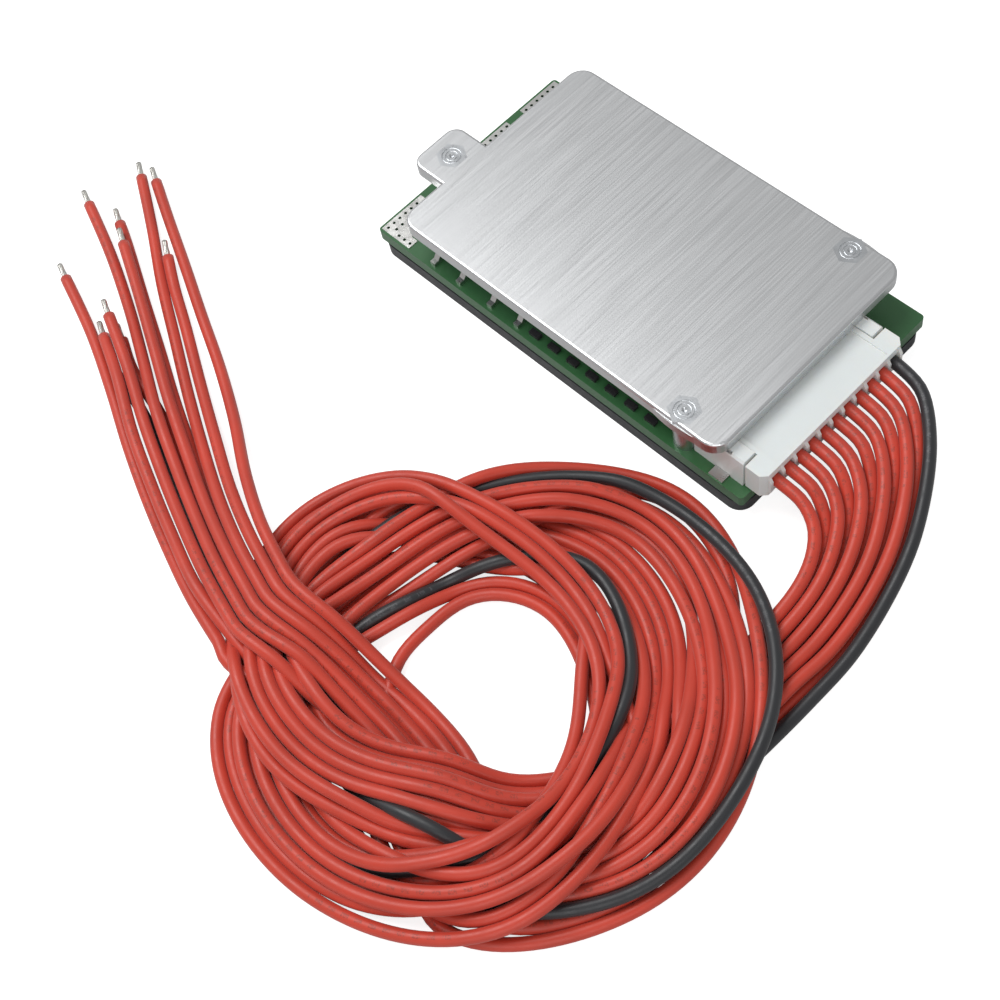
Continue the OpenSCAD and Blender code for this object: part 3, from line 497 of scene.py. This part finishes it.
def plain_finish(name, colour, rough, metal=0.0, vary=0.08, grain=2500, bump=0.12, **sockets):
    """A moulded or cast surface: faint unevenness in colour and gloss, and a fine grain."""
    m = Nodes(name, colour, rough, metal, **sockets)
    cloud = m.noise(220, 3)
    m.set("Base Color", m.mix(cloud, tinted(colour, 1 - vary), tinted(colour, 1 + vary)))
    m.set("Roughness", m.range(m.noise(700, 4), 0.3, 0.7, rough * 0.85, min(rough * 1.15, 1)))
    m.bump(m.noise(grain, 2), bump, 0.00005)
    return m.material


DASHES_PER_M, WORDS_PER_M = 620, 17


def wire_finish(name, colour, print_colour, sheen):
    """Soft insulation with a faint row of worn dashes printed along it."""
    m = Nodes(name, colour, 0.42, 0.0, Specular_IOR_Level=sheen, Sheen_Weight=0.15,
              Sheen_Roughness=0.5)
    uv = m.node("UVMap", 0, {"uv_map": "along"})
    split = m.tree.nodes.new("ShaderNodeSeparateXYZ")
    m.tree.links.new(uv, split.inputs[0])
    length, around = split.outputs[0], split.outputs[1]
    cloud = m.noise(160, 3)
    base = m.mix(m.range(cloud, 0.3, 0.7, 0, 1), tinted(colour, 0.90), tinted(colour, 1.08))
    dash = m.math("LESS_THAN", m.math("FRACT", m.math("MULTIPLY", length, DASHES_PER_M)), 0.55)
    word = m.math("LESS_THAN", m.math("FRACT", m.math("MULTIPLY", length, WORDS_PER_M)), 0.28)
    line = m.math("LESS_THAN", m.math("ABSOLUTE", m.math("SUBTRACT", around, 0.3)), 0.05)
    worn = m.range(m.noise(5200, 2), 0.42, 0.6, 0, 0.5)
    mark = m.math("MULTIPLY", m.math("MULTIPLY", dash, word), m.math("MULTIPLY", line, worn))
    m.set("Base Color", m.mix(mark, base, print_colour))
    m.set("Roughness", m.range(m.noise(900, 3), 0.3, 0.7, 0.36, 0.5))
    m.bump(m.noise(1400, 3), 0.10, 0.00004)
    return m.material


RED = wire_finish("red_insulation", (0.54, 0.047, 0.024), (0.16, 0.03, 0.02), 0.45)
BLACK_RUBBER = wire_finish("black_insulation", (0.018, 0.019, 0.022), (0.10, 0.10, 0.11), 0.5)

# ---------------------------------------------------------------- floor

FLOOR_HALF, FLOOR_BELOW, FLOOR_GLOW = 3, 0.00003, 0.80
floor_mesh = bpy.data.meshes.new("floor")
floor_mesh.from_pydata([(x * FLOOR_HALF, y * FLOOR_HALF, 0)
                        for x, y in ((-1, -1), (1, -1), (1, 1), (-1, 1))], [], [(0, 1, 2, 3)])
floor = bpy.data.objects.new("floor", floor_mesh)
scene.collection.objects.link(floor)
floor.location.z = -FLOOR_BELOW
f = Nodes("floor_paper", (0.55, 0.55, 0.55), 0.9)
f.set("Base Color", f.mix(f.noise(9, 2), (0.54, 0.54, 0.54), (0.56, 0.56, 0.56)))
glow = f.node("Emission", 0, Color=(1, 1, 1, 1), Strength=f.math(
    "MULTIPLY", f.node("LightPath", 0), FLOOR_GLOW))
both = f.node("AddShader", 0, i0=f.shader.outputs[0], i1=glow)
f.tree.links.new(both, f.tree.nodes["Material Output"].inputs[0])
floor_mesh.materials.append(f.material)

# ---------------------------------------------------------------- wires

ways = [wire_parts(w) for w in range(WAYS)]
routes = settle(ways, ROUNDS)
tin = plain_finish("tinned_strands", (0.62, 0.61, 0.57), 0.32, 0.9, 0.15, 3500, 0.3)
STRAND_R, STRAND_L, STRANDS = 0.37, 2.6, 7
STRAND_SIDES, STRAND_RINGS = 56, 12
STRAND_INSIDE, STRAND_TWIST = 0.4, 0.55
WIRE_SIDES = 14


def lobes(part):
    """A ring of strands round the middle one, as the outline of the twisted end."""
    return 0.84 + 0.16 * abs(math.cos(math.pi * STRANDS * part))


for w, route in enumerate(routes):
    points = even_steps(route, 1.0)
    tail_end, back = np.array(TAILS[ONTO[w]][-1]), np.array(TAILS[ONTO[w]][-2])
    way = unit(tail_end - back)
    insulation = tube_piece(f"wire_{w + 1:02d}", points, WIRE_D / 2, WIRE_SIDES,
                            BLACK_RUBBER if w == BLACK else RED)
    bare = [tail_end + way * s for s in np.linspace(-STRAND_INSIDE, STRAND_L, STRAND_RINGS)]
    verts, faces, gone = sweep(bare, STRAND_R, STRAND_SIDES, lobes, STRAND_TWIST)
    faces.append(tuple(range(len(verts) - STRAND_SIDES, len(verts))))
    strands = new_piece(f"strands_{w + 1:02d}", verts, faces, tin, smooth=True)
    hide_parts("tinned_ends")
    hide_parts(f"lead_{w + 1:02d}", f"tail_{ONTO[w] + 1:02d}", "wire_coil")

# ---------------------------------------------------------------- the CAD parts' surfaces


def dress(node, material):
    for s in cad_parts[node].material_slots:
        s.material = material


dress("base_plate", plain_finish("black_coating", (0.030, 0.032, 0.036), 0.42, 0, 0.2, 2200, 0.2))
dress("insulating_film", plain_finish("black_film", (0.012, 0.012, 0.014), 0.5))
dress("solder_pads", plain_finish("hot_tin", (0.70, 0.70, 0.68), 0.28, 1.0, 0.1, 900, 0.5))
moulding = plain_finish("black_moulding", (0.022, 0.023, 0.025), 0.5, 0, 0.15, 3000, 0.25)
for n in ("mosfet_bodies", "balance_transistors", "protection_chips"):
    dress(n, moulding)
leads_tin = plain_finish("lead_tin", (0.66, 0.66, 0.65), 0.3, 1.0, 0.08, 1500, 0.2)
for n in ("mosfet_leads", "mosfet_tabs", "chip_leads", "header_anchors"):
    dress(n, leads_tin)
dress("thermal_pads", plain_finish("silicone_pad", (0.33, 0.37, 0.40), 0.75))
for n in ("shunt_resistors", "balance_resistors", "edge_resistors"):
    dress(n, plain_finish(n + "_black", (0.02, 0.02, 0.022), 0.4))
dress("chip_capacitors", plain_finish("capacitor", (0.45, 0.33, 0.19), 0.45))
dress("header_pins", plain_finish("tinned_brass", (0.72, 0.68, 0.52), 0.25, 1.0))
dress("crimp_contacts", plain_finish("contact_brass", (0.72, 0.62, 0.36), 0.3, 1.0))
nylon = plain_finish("white_nylon", (0.80, 0.80, 0.77), 0.38, 0, 0.03, 1800, 0.1,
                     Subsurface_Weight=0.15)
dress("connector_header", nylon)
dress("plug_housing", nylon)
steel = plain_finish("zinc_plated", (0.60, 0.62, 0.64), 0.3, 1.0, 0.06, 2400, 0.15)
dress("standoffs", steel)
dress("base_screws", steel)

plate = Nodes("brushed_aluminium", (0.78, 0.79, 0.80), 0.3, 1.0)
grain = plate.noise(1.0, 5, plate.place((7000, 90, 7000)))
plate.set("Base Color", plate.mix(grain, (0.60, 0.61, 0.62), (0.68, 0.69, 0.70)))
plate.set("Roughness", plate.range(grain, 0.3, 0.7, 0.30, 0.42))
plate.bump(grain, 0.12, 0.00002)
dress("top_plate", plate.material)

mask = Nodes("solder_mask", (0.04, 0.17, 0.06), 0.3)
mask.set("Base Color", mask.mix(mask.noise(90, 3), (0.030, 0.11, 0.040), (0.040, 0.14, 0.05)))
mask.bump(mask.noise(1500, 2), 0.08, 0.00003)
dress("circuit_board", mask.material)
